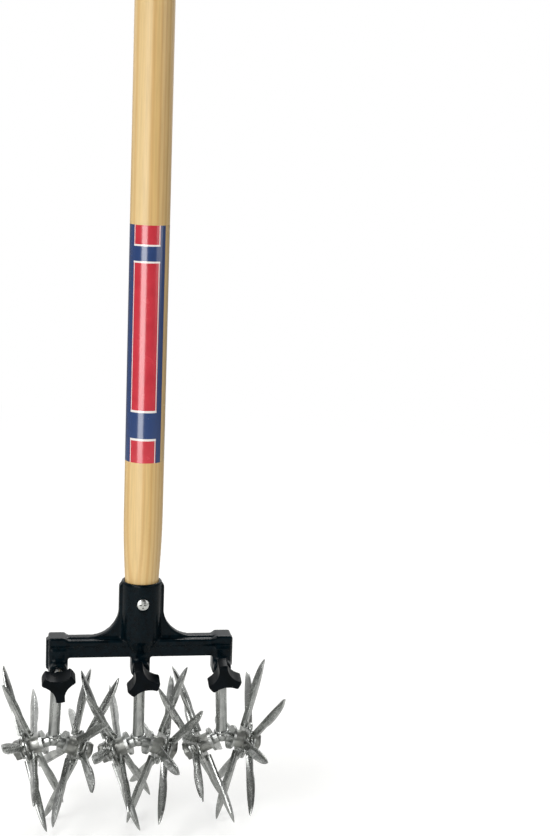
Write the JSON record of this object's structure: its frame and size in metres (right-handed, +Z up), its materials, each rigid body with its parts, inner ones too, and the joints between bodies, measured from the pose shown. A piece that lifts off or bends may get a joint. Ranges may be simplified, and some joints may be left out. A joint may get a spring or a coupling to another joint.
{
  "type": "rotary hand cultivator",
  "caption": "Garden cultivator head on a long wooden handle: a cast bridge clamps shanks whose bent axles carry star wheels with interleaved tines that roll through soil.",
  "frame": {"origin": "on the handle's axis, on the ground under the lowest tines", "axes": "+Z up along the handle, +X to the right along the bridge seen from the knobs, -Y towards the knobs"},
  "size_m": [0.1977, 0.1202, 1.6371],
  "materials": {
    "wood": "clear lacquer on pale wood",
    "label_film": "glossy printed film",
    "black_enamel": "gloss black enamel on a casting",
    "zinc_steel": "bright zinc plate",
    "pressed_steel": "zinc plated pressed plate",
    "bush_steel": "dull zinc plate",
    "dark_steel": "dull zinc plate, darkened",
    "knob_plastic": "semi-gloss moulded plastic"
  },
  "bodies": {
    "head": {"handle": "wood", "label_sleeve": "label_film", "head_casting": "black_enamel", "handle_screw": "zinc_steel", "shank_left": "zinc_steel", "shank_centre": "zinc_steel", "shank_right": "zinc_steel", "axle_left": "zinc_steel", "axle_centre": "zinc_steel", "axle_right": "zinc_steel", "axle_washers": "zinc_steel", "axle_nuts": "dark_steel"},
    "wheel_1": {"wheel_1_bush": "bush_steel", "wheel_1_inner_star": "pressed_steel", "wheel_1_outer_star": "pressed_steel"},
    "wheel_2": {"wheel_2_bush": "bush_steel", "wheel_2_inner_star": "pressed_steel", "wheel_2_outer_star": "pressed_steel"},
    "wheel_3": {"wheel_3_bush": "bush_steel", "wheel_3_inner_star": "pressed_steel", "wheel_3_outer_star": "pressed_steel"},
    "wheel_4": {"wheel_4_bush": "bush_steel", "wheel_4_inner_star": "pressed_steel", "wheel_4_outer_star": "pressed_steel"},
    "wheel_5": {"wheel_5_bush": "bush_steel", "wheel_5_inner_star": "pressed_steel", "wheel_5_outer_star": "pressed_steel"},
    "wheel_6": {"wheel_6_bush": "bush_steel", "wheel_6_inner_star": "pressed_steel", "wheel_6_outer_star": "pressed_steel"},
    "clamp_stud_left": {"stud_left": "zinc_steel"},
    "clamp_knob_left": {"knob_left": "knob_plastic"},
    "clamp_stud_centre": {"stud_centre": "zinc_steel"},
    "clamp_knob_centre": {"knob_centre": "knob_plastic"},
    "clamp_stud_right": {"stud_right": "zinc_steel"},
    "clamp_knob_right": {"knob_right": "knob_plastic"}
  },
  "joints": [
    {"name": "wheel_1_spin", "type": "hinge", "parent": "head", "child": "wheel_1", "pos_m": [-0.06, 0, 0.06495], "axis": [0.9293, -0.1391, 0.342], "continuous": true},
    {"name": "wheel_2_spin", "type": "hinge", "parent": "head", "child": "wheel_2", "pos_m": [-0.06, 0, 0.06495], "axis": [0.896, 0.1391, -0.4217], "continuous": true},
    {"name": "wheel_3_spin", "type": "hinge", "parent": "head", "child": "wheel_3", "pos_m": [0, 0, 0.06295], "axis": [0.9032, -0.1391, 0.406], "continuous": true},
    {"name": "wheel_4_spin", "type": "hinge", "parent": "head", "child": "wheel_4", "pos_m": [0, 0, 0.06295], "axis": [0.9232, 0.1391, -0.3582], "continuous": true},
    {"name": "wheel_5_spin", "type": "hinge", "parent": "head", "child": "wheel_5", "pos_m": [0.06, 0, 0.06495], "axis": [0.8768, -0.1391, 0.4604], "continuous": true},
    {"name": "wheel_6_spin", "type": "hinge", "parent": "head", "child": "wheel_6", "pos_m": [0.06, 0, 0.06495], "axis": [0.9434, 0.1391, -0.3011], "continuous": true},
    {"name": "stud_left_travel", "type": "slide", "parent": "head", "child": "clamp_stud_left", "axis": [0, -0.9659, -0.2588], "range_m": [-0.005, 0.001]},
    {"name": "knob_left_turn", "type": "hinge", "parent": "clamp_stud_left", "child": "clamp_knob_left", "pos_m": [-0.05752, 0, 0.12175], "axis": [0, -0.9659, -0.2588], "range_deg": [-1800, 360]},
    {"name": "stud_centre_travel", "type": "slide", "parent": "head", "child": "clamp_stud_centre", "axis": [0, -0.9659, -0.2588], "range_m": [-0.002, 0.004]},
    {"name": "knob_centre_turn", "type": "hinge", "parent": "clamp_stud_centre", "child": "clamp_knob_centre", "pos_m": [0, 0, 0.12175], "axis": [0, -0.9659, -0.2588], "range_deg": [-720, 1440]},
    {"name": "stud_right_travel", "type": "slide", "parent": "head", "child": "clamp_stud_right", "axis": [0, -0.9659, -0.2588], "range_m": [0, 0.006]},
    {"name": "knob_right_turn", "type": "hinge", "parent": "clamp_stud_right", "child": "clamp_knob_right", "pos_m": [0.05752, 0, 0.12175], "axis": [0, -0.9659, -0.2588], "range_deg": [0, 2160]}
  ],
  "couplings": [
    {"joint": "wheel_2_spin", "follows": "wheel_1_spin", "ratio": 1},
    {"joint": "wheel_3_spin", "follows": "wheel_1_spin", "ratio": 1},
    {"joint": "wheel_4_spin", "follows": "wheel_1_spin", "ratio": 1},
    {"joint": "wheel_5_spin", "follows": "wheel_1_spin", "ratio": 1},
    {"joint": "wheel_6_spin", "follows": "wheel_1_spin", "ratio": 1},
    {"joint": "knob_left_turn", "follows": "stud_left_travel", "rad_per_m": 6283.2},
    {"joint": "knob_centre_turn", "follows": "stud_centre_travel", "rad_per_m": 6283.2},
    {"joint": "knob_right_turn", "follows": "stud_right_travel", "rad_per_m": 6283.2}
  ]
}
